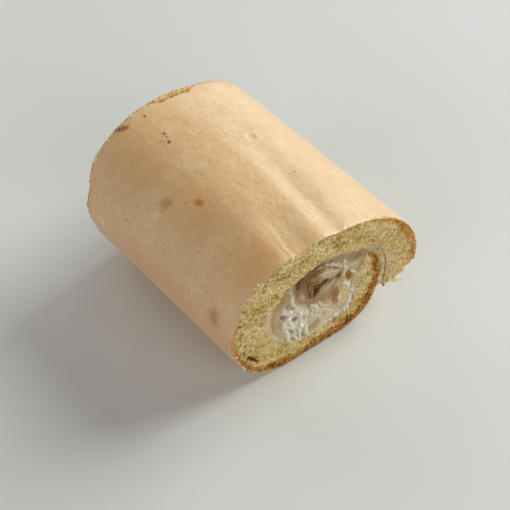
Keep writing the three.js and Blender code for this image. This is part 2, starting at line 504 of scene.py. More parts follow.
def skin_relief(angle, along, places):
    """How far the skin stands out of its smooth form, in millimetres."""
    relief = 0.22 * rough(places, 22, 1, 2) + 0.10 * rough(places, 5, 2, 3) + 0.06 * rough(places, 1.5, 3, 2)
    wandering = angle + 1.3 * rough(places, 6, 10, 3)
    relief -= fold_depth(angle, along) + fold_depth(wandering, along, WRINKLES)
    spot = [DIMPLE[key] for key in ("angle", "along", "half_round", "half_along")]
    away = reach(angle, along, *spot)
    relief -= DIMPLE["deep"] * (1 - smoothstep(away, 0.3, 1.25))
    return relief + 0.06 * np.exp(-(((away - 1.5) / 0.35) ** 2))


def skin_lines():
    """The angles of the skin's points on its outside and on its inside, and where they are along the roll."""
    shown = even_angles(1, CRUST_START, TURNS_UNDER, FINE)
    hidden = even_angles(1, TURNS_UNDER, SKIN_END, COARSE)[1:]
    ends = np.linspace(0, 0.03, 9)
    alongs = np.concatenate([ends, np.linspace(0.03, 0.97, 153)[1:-1], 1 - ends[::-1]])
    return np.append(shown, hidden), np.linspace(SKIN_END, CRUST_START, 60), alongs


def skin_marks(angle, along, flat):
    """How deep holes and the torn strip lie in the skin, and the fields that colour every mark on it."""
    sunk = np.zeros(len(angle))
    fields = {name: np.zeros(len(angle)) for name in ("hole", "tanned", "browned", "pale", "scorched")}
    for at_angle, at_along, radius, depth in HOLES:
        away = reach(angle, along, at_angle, at_along, radius, radius)
        pit = 1 - smoothstep(away, 0.35, 1.25)
        sunk += depth * pit - 0.08 * np.exp(-(((away - 1.9) / 0.5) ** 2))
        # Painted shade inside the hole.
        fields["hole"] = np.maximum(fields["hole"], pit * min(1, depth / 0.8))
    uneven = 0.35 * rough(flat, 2.2, 5, 3)
    for field, at_angle, at_along, half_round, half_along, strength in MARKS:
        away = reach(angle, along, at_angle, at_along, half_round, half_along) + uneven
        fields[field] = np.maximum(fields[field], strength * (1 - smoothstep(away, 0.1, 1.4)))

    # The skin is torn away in a strip along the top of the far cut.
    bite = smoothstep(angle, 67, 78) * (1 - smoothstep(angle, 103, 114))
    bite *= 1 - 0.55 * smoothstep(angle, 98, 103)
    torn = smoothstep(along + 0.034 * bite - 1.004 - 0.006 * rough(flat, 3, 6, 3), -0.002, 0.002)
    sunk += torn * (0.65 + 0.35 * rough(flat, 0.9, 7, 2))
    specks = smoothstep(rough(flat, 1.1, 15, 2), 0.1, 0.5)
    fields["pale"] = np.maximum(fields["pale"], 0.8 * torn * smoothstep(along, 0.993, 0.998))
    fields["hole"] = np.maximum(fields["hole"], 0.6 * torn * specks)
    fields["torn"] = torn
    return sunk, fields


def crust():
    """The browned skin round the outside of the roll, to where the sheet goes under the flap."""
    outer_angles, inner_angles, alongs = skin_lines()
    ring = np.append(outer_angles, inner_angles)
    angle, along = (grid.ravel() for grid in np.meshgrid(ring, alongs))
    outside = np.tile(np.arange(len(ring)) < len(outer_angles), len(alongs))
    edge_line = np.stack([along * LENGTH, np.zeros(len(along)), np.zeros(len(along))], -1)
    angle = angle + np.where(angle < CRUST_START + 1.5, 0.9 * rough(edge_line, 4, 9, 3), 0)

    x, z = polar(between(1, angle), angle)
    flat = carry(x, z, along)
    sunk, fields = skin_marks(angle, along, flat)
    from_cut = np.minimum(along, 1 - along) * LENGTH
    edge = 1 - smoothstep(from_cut, 0.0, 1.1)
    fields["rim"] = np.where(outside, 0, edge)
    thick = SKIN_EDGE + (SKIN_THICKNESS - SKIN_EDGE) * smoothstep(from_cut, 0, 3.0)
    relief = np.where(outside, skin_relief(angle, along, flat) - sunk, -fold_depth(angle, along) - thick)
    relief -= 0.25 * edge * (1 + rough(flat, 1.3, 8, 2))

    x, z = polar(between(1, angle) + relief, angle)
    torn_edge = 0.25 + 0.75 * smoothstep(angle, 106, 116) * (1 - smoothstep(angle, 150, 165))
    torn_edge += 0.5 * smoothstep(angle, 215, 235)
    ragged = torn_edge * (0.15 + 0.45 * rough(flat, 1.6, 4, 3)) * (1 - smoothstep(from_cut, 0, 1.2))
    dip = far_dip(angle) * smoothstep(along, 0.85, 1)
    places = carry(x, z, along, ragged - dip)

    count = len(ring)
    here, there = np.arange(count), (np.arange(count) + 1) % count
    start = np.arange(len(alongs) - 1)[:, None] * count
    sides = np.stack([start + here, start + count + here, start + count + there, start + there], -1)
    near = stitch(outer_angles, inner_angles[::-1], count)
    far = near[:, ::-1] + (len(alongs) - 1) * count
    return piece("crust", places, [*sides.reshape(-1, 4), *near, *far], crust_material(), **fields)


def stitch(outer, inner, count):
    """Triangles between a fine row of angles, counted up from 0, and a coarse one, counted down."""
    i, j, triangles = 0, 0, []
    while i < len(outer) - 1 or j < len(inner) - 1:
        low, high = i, count - 1 - j
        if j == len(inner) - 1 or (i < len(outer) - 1 and outer[i + 1] <= inner[j + 1]):
            triangles.append((low, low + 1, high))
            i += 1
        else:
            triangles.append((low, high - 1, high))
            j += 1
    return np.array(triangles)


# ---- the crumb ----

def share_angles(share):
    """The crust's and the inner face's angles at a share of the sheet's length: 0 at the flap, 1 inside."""
    fine = np.linspace(0, 1, 2000)
    crust_angle = CRUST_START + fine * (SHEET_END - CRUST_START)
    inner_angle = INNER_START + fine * (SHEET_END - INNER_START)
    x, z = polar((between(1, crust_angle) + between(2, inner_angle)) / 2, (crust_angle + inner_angle) / 2)
    length = np.append(0, np.cumsum(np.hypot(np.diff(x), np.diff(z))))
    return (np.interp(share * length[-1], length, crust_angle),
            np.interp(share * length[-1], length, inner_angle))


def sheet_section(share, depth, inset=0.0):
    """Section points of the sheet: depth is 0 at the crust and 1 at the inner face."""
    crust_angle, inner_angle = share_angles(share)
    outer_x, outer_z = polar(between(1, crust_angle) - inset, crust_angle)
    inner_x, inner_z = polar(between(2, inner_angle), inner_angle)
    return outer_x + (inner_x - outer_x) * depth, outer_z + (inner_z - outer_z) * depth


# How deep the oven's browning goes into the crumb: angle on the crust, millimetres, and how dark it is.
BROWNING = np.array([
    (-20, 3.6, 0.54),
    (20, 3.4, 0.54),
    (45, 2.1, 0.50),
    (60, 0.9, 0.50),
    (110, 0.5, 0.22),
    (140, 0.5, 0.18),
    (165, 1.3, 0.50),
    (190, 2.4, 0.65),
    (215, 3.2, 0.90),
    (240, 4.8, 1.00),
    (275, 6.4, 1.00),
    (300, 7.0, 1.00),
    (325, 5.8, 1.00),
    (345, 3.6, 0.92),
    (375, 2.2, 0.90),
    (388, 1.8, 0.95),
])
# Round the filling, how thickly cream is smeared on the crumb: angles, then amounts.
SMEARED = ((0, 30, 60, 160, 190, 285, 310, 360), (0.65, 0.5, 0.1, 0.1, 0.75, 0.75, 0.5, 0.65))
SLOT = (-31.3, 16.5, 4.7, 0.85, -58)  # a slit where a bubble was, sunk and painted dark brown as its shade: middle, half sizes, tilt
OFF_TABLE = 0.05  # how far above the table the crumb stays, so that the skin lies under it


def oval(x, z, middle_x, middle_z, half_x, half_z, tilt):
    """How many half sizes away from a tilted oval's middle each point of the cut face is."""
    cos, sin = math.cos(math.radians(tilt)), math.sin(math.radians(tilt))
    dx, dz = x - middle_x, z - middle_z
    return np.hypot((dx * cos + dz * sin) / half_x, (dz * cos - dx * sin) / half_z)


def crumb_tree():
    """Tears a cut face into open crumb, as deep as its cut field says, and marks its gaps for painted shade
    and its ridges for a painted highlight.
    """
    tree, given = new_geometry_tree(
        "open crumb", Cell=0.88 * MM, CellHeight=0.42 * MM, Hole=3.6 * MM, HoleDepth=0.4 * MM,
        Strand=2.2 * MM, StrandHeight=0.3 * MM, Lump=6.0 * MM, LumpHeight=0.7 * MM)
    per_metre = {
        size: add(tree, "ShaderNodeMath", {0: 1.0, 1: given.outputs[size]}, operation="DIVIDE").outputs[0]
        for size in ("Cell", "Hole", "Strand", "Lump")}
    where = add(tree, "GeometryNodeInputPosition").outputs[0]

    # Every point is pushed about by up to a cell or two, so that no cell or hole is round.
    warp = add(tree, "ShaderNodeTexNoise", {"Vector": where, "Scale": 1 / (2 * MM), "Detail": 3.0})
    centred = add(tree, "ShaderNodeVectorMath",
                  {0: warp.outputs["Color"], 1: (0.5, 0.5, 0.5)}, operation="SUBTRACT")
    shift = add(tree, "ShaderNodeVectorMath", {0: centred.outputs[0], "Scale": 2.8 * MM}, operation="SCALE")
    bent = add(tree, "ShaderNodeVectorMath", {0: where, 1: shift.outputs[0]}, operation="ADD").outputs[0]

    # Beads of crumb, bolder in some places than in others.
    cells = add(tree, "ShaderNodeTexVoronoi", {"Vector": bent, "Scale": per_metre["Cell"]})
    bead = add(tree, "ShaderNodeMapRange", {0: cells.outputs["Distance"], 1: 0.1, 2: 0.75, 3: 0.5, 4: -0.5})
    coarse = add(tree, "ShaderNodeTexNoise", {"Vector": where, "Scale": per_metre["Hole"], "Detail": 2.0})
    strength = add(tree, "ShaderNodeMapRange", {0: coarse.outputs[0], 1: 0.35, 2: 0.65, 3: 0.55, 4: 1.35})
    beads = add(tree, "ShaderNodeMath", {0: bead.outputs[0], 1: strength.outputs[0]}, operation="MULTIPLY")

    # Holes, each with a width of its own.
    holes = add(tree, "ShaderNodeTexVoronoi", {"Vector": bent, "Scale": per_metre["Hole"]})
    own = add(tree, "FunctionNodeSeparateColor", {0: holes.outputs["Color"]})
    wide = add(tree, "ShaderNodeMapRange", {0: own.outputs[0], 1: 0.4, 2: 1.0, 3: 0.02, 4: 0.22})
    ratio = add(tree, "ShaderNodeMath",
                {0: holes.outputs["Distance"], 1: wide.outputs[0]}, operation="DIVIDE")
    pit = add(tree, "ShaderNodeMapRange", {0: ratio.outputs[0], 1: 0.5, 2: 1.2, 3: -1.0, 4: 0.0})

    # Strands, where a drawn-out noise crosses its middle value.
    drawn = add(tree, "ShaderNodeVectorMath", {0: where, 1: (0.75, 1.0, 1.1)}, operation="MULTIPLY")
    threads = add(tree, "ShaderNodeTexNoise",
                  {"Vector": drawn.outputs[0], "Scale": per_metre["Strand"], "Detail": 2.0})
    middle = add(tree, "ShaderNodeMath", {0: threads.outputs[0], 1: 0.5}, operation="SUBTRACT")
    aside = add(tree, "ShaderNodeMath", {0: middle.outputs[0]}, operation="ABSOLUTE")
    strand = add(tree, "ShaderNodeMapRange", {0: aside.outputs[0], 1: 0.0, 2: 0.07, 3: 1.0, 4: 0.0})

    lumps = add(tree, "ShaderNodeTexNoise", {"Vector": where, "Scale": per_metre["Lump"], "Detail": 3.0})
    swell = add(tree, "ShaderNodeMath", {0: lumps.outputs[0], 1: 0.6}, operation="SUBTRACT")

    total = 0.0
    for pattern, height in ((beads, "CellHeight"), (pit, "HoleDepth"), (strand, "StrandHeight"),
                            (swell, "LumpHeight")):
        total = add(tree, "ShaderNodeMath", {0: pattern.outputs[0], 1: given.outputs[height], 2: total},
                    operation="MULTIPLY_ADD").outputs[0]

    cut = add(tree, "GeometryNodeInputNamedAttribute", {"Name": "cut"}, data_type="FLOAT")
    stored = given.outputs["Geometry"]
    marks = (
        ("rise", add(tree, "ShaderNodeMath", {0: total, 1: cut.outputs[0]}, operation="MULTIPLY")),
        # How strongly painted shade darkens the hollows and a painted highlight lights the peaks.
        ("gap_shade", add(tree, "ShaderNodeMapRange", {0: total, 1: -0.08 * MM, 2: -0.34 * MM})),
        ("ridge", add(tree, "ShaderNodeMapRange", {0: total, 1: 0.02 * MM, 2: 0.30 * MM})),
    )
    for name, value in marks:
        stored = add(tree, "GeometryNodeStoreNamedAttribute",
                     {"Geometry": stored, "Name": name, "Value": value.outputs[0]},
                     data_type="FLOAT", domain="POINT").outputs[0]
    rise = add(tree, "GeometryNodeInputNamedAttribute", {"Name": "rise"}, data_type="FLOAT")
    normal = add(tree, "GeometryNodeInputNormal")
    offset = add(tree, "ShaderNodeVectorMath",
                 {0: normal.outputs[0], "Scale": rise.outputs[0]}, operation="SCALE")
    moved = add(tree, "GeometryNodeSetPosition", {"Geometry": stored, "Offset": offset.outputs[0]})
    real = add(tree, "GeometryNodeRealizeInstances", {0: moved.outputs[0]})
    dressed = add(tree, "GeometryNodeSetMaterial",
                  {"Geometry": real.outputs[0], "Material": given.outputs["Material"]})
    add(tree, "NodeGroupOutput", {0: dressed.outputs[0]})
    return tree


def creamy(x, z, along, from_cream):
    """How thickly cream is smeared over the crumb: in a line beside the seam, and out from the filling."""
    point = face_point(x, z, along)
    angle = np.degrees(np.arctan2(z - HEART_Z, x - HEART_X))
    beside = np.hypot(x - HEART_X, z - HEART_Z) - between(2, angle) - 1.9 + 0.35 * rough(point, 5, 17, 2)
    line = smoothstep(angle, -22, -14) * (1 - smoothstep(angle, 4, 12)) * np.exp(-((beside / 0.55) ** 2))
    amount = np.interp(angle % FULL_TURN, *SMEARED)
    smear = amount * (1 - smoothstep(from_cream + 0.9 * rough(point, 1.6, 18, 3), 0.2, 1.7))
    return np.maximum(0.8 * line, smear)


def browned(crust_angle, below, flat):
    """How dark the oven has made the crumb, this far below the crust."""
    deep = np.interp(crust_angle, BROWNING[:, 0], BROWNING[:, 1])
    darkest = np.interp(crust_angle, BROWNING[:, 0], BROWNING[:, 2])
    ragged = 1.1 * rough(flat, 2.5, 11, 3)
    baked = darkest * (1 - smoothstep(below + ragged, 0.62 * deep, 1.22 * deep))
    return baked * np.clip(0.95 + 0.7 * rough(flat, 1.8, 14, 3), 0.55, 1.1)


def crumb(material, tree):
    """The sponge itself, with both cut faces open."""
    # Fine along the sheet and through it, and along the roll only near its cuts.
    shares = np.linspace(0, 1, 821)
    depths = np.linspace(0, 1, 47)
    alongs = np.array([0, 0.006, 0.02, 0.06, 0.5, 0.94, 0.98, 0.994, 1])
    rows, faces = block_skin(shares, depths, alongs)
    share, depth, along = rows.T
    from_cut = np.minimum(along, 1 - along) * LENGTH
    at_end = 1 - smoothstep(from_cut, 0, 1.6)
    crust_angle, _ = share_angles(share)
    thick = np.interp(crust_angle, SHEET[:, 0], SHEET[:, 1] - SHEET[:, 2])

    # Away from the cuts its outside lies just within the skin and goes down into the folds with it.
    sink = 0.15 + 1.3 * smoothstep(from_cut, 0.3, 3.0) + fold_depth(crust_angle, along)
    x, z = sheet_section(share, depth, sink)
    flat = carry(x, z, along)
    slit = 1 - smoothstep(oval(x, z, *SLOT) + 0.25 * rough(flat, 1.5, 12, 2), 0.7, 1.1)
    slit = np.where(along < 0.5, slit, 0) * at_end
    lift = at_end * (0.35 * rough(flat, 11, 13, 2) - 0.9 * slit)
    dip = far_dip(crust_angle) * (1 - depth) * smoothstep(along, 0.85, 1)
    places = carry(x, z, along, lift - dip)
    places[:, 2] = np.maximum(places[:, 2], OFF_TABLE)

    cut = at_end * smoothstep(places[:, 2], 0.2, 1.2)
    smeared = at_end * (depth > 0.5) * creamy(x, z, along, (1 - depth) * thick)
    made = piece("crumb", places, faces_out(places, faces), material, cut=cut,
                 baked=browned(crust_angle, depth * thick, flat), slot=slit, creamy=smeared)
    return run_tree(made, tree, material)


# Torn strands hanging from the flap: section x and z of their points, how far along the roll, radius.
STRANDS = (
    (((28.6, 14.6), (32.6, 10.6), (37.2, 8.4)), 0.004, 0.75),
    (((30.6, 15.2), (34.6, 12.6), (37.8, 11.6)), 0.010, 0.50),
    (((29.6, 14.0), (31.0, 11.4), (33.6, 10.2)), 0.012, 0.60),
    (((27.4, 14.0), (28.4, 11.6), (28.6, 9.8)), 0.008, 0.60),
    (((34.0, 15.4), (36.0, 13.6), (38.4, 13.6)), 0.006, 0.45),
)
FLAP_ROOT = 2.0  # how far inside the sheet the flap's rough end starts
FLAP_SHORT = 0.15  # how far short of each cut it ends


def strand(points, along, radius):
    """A torn thread of crumb that tapers to a point: its places and faces."""
    steps, sides = 14, 7
    share = np.linspace(0, 1, steps)
    x, z = np.array(points).T @ np.stack([(1 - share) ** 2, 2 * share * (1 - share), share ** 2])
    turn = np.linspace(0, 2 * math.pi, sides, endpoint=False)
    wide = radius * (1 - 0.75 * share ** 2)
    way = np.stack([np.gradient(x), np.gradient(z)], -1)
    way /= np.linalg.norm(way, axis=1)[:, None]
    ring_x = x[:, None] - way[:, 1:] * wide[:, None] * np.cos(turn)
    ring_z = z[:, None] + way[:, :1] * wide[:, None] * np.cos(turn)
    places = carry(ring_x.ravel(), ring_z.ravel(), np.full(steps * sides, along))
    places[:, 1] += (wide[:, None] * np.sin(turn)).ravel() * 1.3
    places += 0.5 * radius * rough(places, 1.2, 23, 2)[:, None]
    here, there = np.arange(sides), (np.arange(sides) + 1) % sides
    start = np.arange(steps - 1)[:, None] * sides
    quads = np.stack([start + here, start + there, start + sides + there, start + sides + here], -1)
    caps = [here[::-1], here + (steps - 1) * sides]
    return places, [*quads.reshape(-1, 4), *caps]


def torn_flap(material, tree):
    """The flap's torn end: rough crumb hanging past the straight line between its crust and inner face."""
    outer = np.array(polar(between(1, CRUST_START), CRUST_START))
    inner = np.array(polar(between(2, INNER_START), INNER_START))
    across = inner - outer
    width = np.hypot(*across)
    away = np.array([across[1], -across[0]]) / width
    away = away if away[1] < 0 else -away

    outs = np.linspace(0, 1, 5)
    depths = np.linspace(0, 1, 46)
    alongs = np.linspace(0, 1, 216)
    rows, faces = block_skin(outs, depths, alongs)
    out, depth, along = rows.T
    spot = np.stack([depth * width, along * LENGTH, np.zeros(len(rows))], -1)
    hang = 0.3 + 0.9 * rough(spot, 4, 21, 4) + 2.0 * np.exp(-(((depth - 0.72) / 0.2) ** 2))
    hang *= smoothstep(depth, 0, 0.12) * (1 - 0.6 * smoothstep(depth, 0.9, 1.0))
    push = -FLAP_ROOT + out * (FLAP_ROOT + hang)
    base = outer + across * (0.015 + 0.97 * depth)[:, None] + away * push[:, None]
    places = carry(base[:, 0], base[:, 1], along)
    places[:, 1] += np.where(along < 0.5, FLAP_SHORT, -FLAP_SHORT)
    cut = np.where(out > 0.3, 1.0, 0.0)
    baked = 0.55 * (1 - smoothstep(depth * width + 0.8 * rough(spot, 2.5, 22, 3), 1.4, 3.6))

    faces = [*faces_out(places, faces)]
    for points, strand_along, radius in STRANDS:
        strand_places, strand_faces = strand(points, strand_along, radius)
        faces += [face + len(places) for face in strand_faces]
        places = np.concatenate([places, strand_places])
    bare = np.zeros(len(places) - len(rows))
    plain = np.zeros(len(places))
    made = piece("torn_flap", places, faces, material, cut=np.append(cut, bare),
                 baked=np.append(baked, bare), slot=plain, creamy=plain)
    return run_tree(made, tree, material)


# ---- the filling ----

def disc(p, q):
    """A square's point p, q from -1 to 1 as an angle in degrees and a share of a disc's radius."""
    share = np.maximum(np.abs(p), np.abs(q))
    safe_p, safe_q = np.where(p == 0, 1e-9, p), np.where(q == 0, 1e-9, q)
    flat_way = 45 * q / safe_p + np.where(p < 0, 180, 0)
    steep_way = 90 - 45 * p / safe_q + np.where(q < 0, 180, 0)
    return np.where(np.abs(p) >= np.abs(q), flat_way, steep_way) % FULL_TURN, share


def face_point(x, z, along):
    """Section points as 3-D points for unevenness, different at each end of the roll."""
    return np.stack([x, np.where(along < 0.5, 0.0, 60.0), z], -1)


def heart_point(x, z, along):
    """Section points measured from the heart, pushed about a little so that no drawn line is clean.

    They stray further at the far cut, so that its pattern is its own.
    """
    point = face_point(x, z, along)
    stray = np.where(along < 0.5, 1.0, 2.2)
    return (x - HEART_X + stray * (0.7 * rough(point, 5, 37, 2) + 0.35 * rough(point, 1.6, 38, 2)),
            z - HEART_Z + stray * (0.7 * rough(point, 5, 39, 2) + 0.35 * rough(point, 1.6, 40, 2)))


def stroke(u, w, line, wide):
    """How strongly a streak along a line of points covers each point: 1 on it, 0 a width away."""
    away = np.full(len(u), 1e9)
    for (u0, w0), (u1, w1) in zip(line, line[1:]):
        du, dw = u1 - u0, w1 - w0
        share = np.clip(((u - u0) * du + (w - w0) * dw) / (du * du + dw * dw), 0, 1)
        away = np.minimum(away, np.hypot(u - u0 - share * du, w - w0 - share * dw))
    return 1 - smoothstep(away / wide, 0.35, 1.0)


def strokes(u, w, lines):
    """The strongest of several streaks: each a strength, a width and its points."""
    return np.maximum.reduce([strength * stroke(u, w, line, wide) for strength, wide, *line in lines])


def spots(u, w, ovals, soft):
    """The strongest of several soft ovals: each a strength, then its middle, half sizes and tilt."""
    return np.maximum.reduce([
        strength * (1 - smoothstep(oval(u, w, *shape), 1 - soft, 1 + soft)) for strength, *shape in ovals])


# Where the fillings have points along the roll. A cut face's relief fades out over END_DEPTH, which has to
# be more than twice the deepest relief or the filling's sides would fold over themselves.
FILLING_LINES = np.array([0, 0.04, 0.085, 0.5, 0.915, 0.96, 1])
END_DEPTH = 7.0


def end_share(along):
    """1 on a filling's cut faces and 0 beyond the depth their relief reaches."""
    return 1 - smoothstep(np.minimum(along, 1 - along) * LENGTH, 0, END_DEPTH)


def rod(name, lines, radius_at, middle, lift_at, material, fields_at):
    """A filling that runs the length of the roll, with this many lines of points each way across a cut.

    lift_at and fields_at take section x and z, along, and the share of the way out from the middle.
    """
    grid = np.linspace(-1, 1, lines)
    rows, faces = block_skin(grid, grid, FILLING_LINES)
    p, q, along = rows.T
    angle, share = disc(p, q)
    radius = radius_at(angle) * share
    a = np.radians(angle)
    x, z = middle[0] + radius * np.cos(a), middle[1] + radius * np.sin(a)
    places = carry(x, z, along, end_share(along) * lift_at(x, z, along, share))
    return piece(name, places, faces_out(places, faces), material, **fields_at(x, z, along, share))


def core_radius(angle):
    """The inside of the roll, which the cream fills, just into the sponge: it reaches in behind the tip."""
    tip = SHEET_END - FULL_TURN
    turned = np.where(angle < tip, angle + FULL_TURN, angle)
    step = between(2, tip) - between(2, SHEET_END)
    return between(2, turned) + 0.5 + np.where(angle < tip, step * smoothstep(angle, tip - 20, tip), 0)


def fruit_radius(fruit):
    """The lobed oval's radius at an angle, measured from its own middle."""
    turn = np.linspace(0, FULL_TURN, 721)
    a = np.radians(turn)
    swell = 1 + fruit["lobe"] * np.sin(fruit["lobes"] * a + 1)
    x, z = fruit["wide"] * swell * np.cos(a), fruit["high"] * swell * np.sin(a)
    angle = np.unwrap(np.arctan2(z, x)) * 180 / math.pi + fruit["tilt"]
    radius = np.hypot(x, z)
    return lambda wanted: np.interp((wanted - angle[0]) % FULL_TURN, angle - angle[0], radius)


def fruit_share(fruit, u, w):
    """0 at a fruit's middle and 1 at its outline, for points measured from the heart."""
    du, dw = u - fruit["x"], w - fruit["z"]
    return np.hypot(du, dw) / fruit_radius(fruit)(np.degrees(np.arctan2(dw, du)))


# What follows is drawn on the cut faces in millimetres from the heart: across, up. An oval is a strength,
# its middle, its half sizes and its tilt. A streak is a strength, a width and its points.

# Where the cream was torn to foam.
FOAM = (
    (0.80, -11.4, -6.5, 5.2, 9.4, 12),
    (0.80, -15.2, 1.6, 2.2, 4.4, 14),
    (0.55, -4.6, -8.6, 5.4, 5.6, -30),
    (0.60, 13.0, -1.6, 2.4, 4.4, 10),
    (0.50, 1.4, -12.2, 6.4, 3.2, -24),
    (0.32, 1.6, -7.4, 4.4, 2.2, -34),
)
# Clean white streaks; the one from (-13.4, 12.4) to (-12.6, 4.0) is a painted highlight along the fold at the
# pulp's left edge.
WHITE_STREAKS = (
    (1.0, 1.1, (-17.2, 3.4), (-16.4, -4.0), (-14.6, -14.6)),
    (1.0, 1.1, (-14.8, 0.0), (-13.4, -8.0), (-10.8, -17.2)),
    (1.0, 1.0, (-10.2, -1.6), (-9.8, -9.0), (-10.4, -17.2)),
    (1.0, 1.1, (-8.8, -5.0), (-7.6, -11.0), (-6.4, -17.4)),
    (0.7, 0.8, (-9.2, -2.4), (-3.6, -8.4), (-0.4, -12.6)),
    (0.8, 0.8, (-5.2, -2.0), (-0.4, -7.4), (4.0, -12.6)),
    (0.6, 0.6, (-1.6, -3.4), (2.4, -8.4), (4.6, -11.2)),
    (0.6, 0.6, (-3.0, -5.6), (-1.6, -9.2), (1.2, -14.4)),
    (1.0, 1.3, (8.8, 0.6), (11.6, -1.8), (13.0, -7.0), (12.4, -13.0), (10.0, -16.6), (6.4, -17.0)),
    (0.5, 0.8, (7.2, -1.6), (7.0, -6.5), (7.6, -12.0)),
    (0.9, 0.9, (12.6, 4.4), (14.6, 1.6), (14.4, -2.4), (12.8, -4.8)),
    (0.25, 0.9, (10.0, 8.2), (14.0, 8.0), (18.0, 10.0)),
    (0.9, 0.8, (8.4, 13.0), (9.2, 9.8), (8.8, 5.6)),
    (0.8, 0.7, (-13.4, 12.4), (-13.6, 8.2), (-12.6, 4.0)),
    (0.7, 0.8, (9.4, -15.8), (4.6, -17.2), (-1.0, -17.8), (-5.0, -18.0)),
    (0.5, 0.6, (7.6, -14.6), (3.4, -15.6), (-1.4, -16.4)),
    (0.5, 1.1, (-21.4, -5.6), (-19.4, -10.4), (-15.6, -14.8)),
)
# Small hollows in the foam, sunk and darkened with painted shade.
HOLLOWS = (
    (1.0, -16.6, 0.8, 1.0, 1.6, 10),
    (0.9, -12.0, -4.0, 1.6, 0.7, -30),
    (0.9, -14.6, 4.4, 0.6, 1.2, 10),
    (0.9, -13.0, 2.4, 0.7, 1.0, 10),
    (0.6, -13.4, -9.6, 0.6, 1.6, 12),
    (0.6, -8.6, -14.6, 0.5, 2.2, 8),
    (0.5, -11.8, -12.8, 0.6, 1.8, 10),
    (0.5, 15.6, -5.4, 0.8, 1.6, 10),
)
PIT = ((1.0, 11.5, 2.6, 1.3, 2.4, 26),)  # the golden-brown hole
# Where the cream is dull or tinged by the fruit; the four at 9.6 mm up and higher are painted shadow, where
# the sponge's edge overhangs the recessed cream.
STAINS_AND_SHADOWS = (
    (1.0, -12.2, 16.0, 4.6, 2.8, 34),
    (0.6, -17.6, 9.6, 2.4, 5.2, -24),
    (0.8, 7.0, 16.0, 4.2, 1.5, -26),
    (0.5, -21.0, 1.0, 1.0, 8.0, 0),
    (0.45, -2.6, -14.4, 2.6, 2.2, 0),
    (0.9, -2.6, -1.4, 6.4, 2.0, 0),
    (0.7, 2.0, -4.6, 3.4, 2.8, -30),
    (0.7, 14.0, 11.6, 6.0, 2.8, -14),
)
# Where fruit juice has soaked in.
SOAKED = (
    (1.0, 5.2, -2.6, 2.0, 4.6, 10),
    (0.9, 5.8, -7.8, 1.2, 3.4, 10),
    (0.6, 7.4, 4.8, 1.0, 3.4, 14),
)
# Where the cream is clean and yellower.
CLEAR = (
    (0.3, 14.0, 10.6, 6.0, 3.2, -14),
    (0.9, 9.8, -8.0, 3.0, 8.4, 8),
    (0.9, -17.6, -10.4, 2.6, 5.2, 26),
    (0.9, 4.6, -15.6, 5.6, 2.2, 6),
)
# Where the knife pressed the cream in: how deep, and the ovals.
PRESSED = (
    (2.0, ((1.0, -13.6, 15.0, 8.0, 4.6, 38),)),
    (0.8, ((1.0, -19.0, 3.0, 3.2, 11.0, -4), (0.8, 2.6, -13.6, 6.0, 3.0, 0))),
    (1.0, ((1.0, 14.0, 12.0, 5.0, 2.4, -20),)),
)
LEVEL = ((1.0, 20.4, 11.8, 3.2, 3.2, 0),)  # beside the sheet's inner tip, where the cream stays flat


def outline(fruit, x, z, along):
    """fruit_share with an uneven edge, true only at the outline itself, where fruit and cream must meet."""
    share = fruit_share(fruit, x - HEART_X, z - HEART_Z)
    return share + 0.34 * rough(face_point(x, z, along), 4.5, 55, 4) * (1 - smoothstep(share, 0.85, 1.0))


def cream_foam(x, z, along):
    """How far the cream is torn to foam, from 0 where the knife wiped it smooth to 1."""
    u, w = heart_point(x, z, along)
    return np.maximum(spots(u, w, FOAM, 0.2), strokes(u, w, WHITE_STREAKS))


def cream_lift(x, z, along, share):
    """How far the cream stands out of its cut, in millimetres, with room left for the fruit."""
    u, w = heart_point(x, z, along)
    point = face_point(x, z, along)
    foam = cream_foam(x, z, along)
    lift = -1.0 + 0.35 * rough(point, 8, 32, 3)
    for deep, ovals in PRESSED:
        lift -= deep * spots(u, w, ovals, 0.6)
    bubbles = rough(point, 1.4, 33, 3)
    torn = rough(point * np.array([1.9, 1, 0.75]), 2.3, 34, 4)
    fine = rough(point, 0.7, 48, 2)
    lift += foam * (0.4 + 0.7 * bubbles + 0.6 * torn + 0.45 * fine) + 0.6 * strokes(u, w, WHITE_STREAKS)
    lift -= 1.3 * spots(u, w, HOLLOWS, 0.4) + 1.1 * spots(u, w, PIT, 0.3)

    # The cream comes to the pulp's level beside it, and falls away under the pulp and the slice.
    by_pulp = 1 - smoothstep(fruit_share(PULP, x - HEART_X, z - HEART_Z), 0.86, 1.25)
    lift = lift * (1 - 0.7 * by_pulp) - 1.3 * 0.7 * by_pulp
    under = np.maximum(1 - smoothstep(outline(PULP, x, z, along), 0.72, 0.83),
                       1 - smoothstep(outline(SLICE, x, z, along), 0.6, 0.85))
    lift = lift * (1 - under) - 3.0 * under
    level = spots(x - HEART_X, z - HEART_Z, LEVEL, 0.4)
    return lift * (1 - np.maximum(0.4 * smoothstep(share, 0.9, 0.97), 0.9 * level))


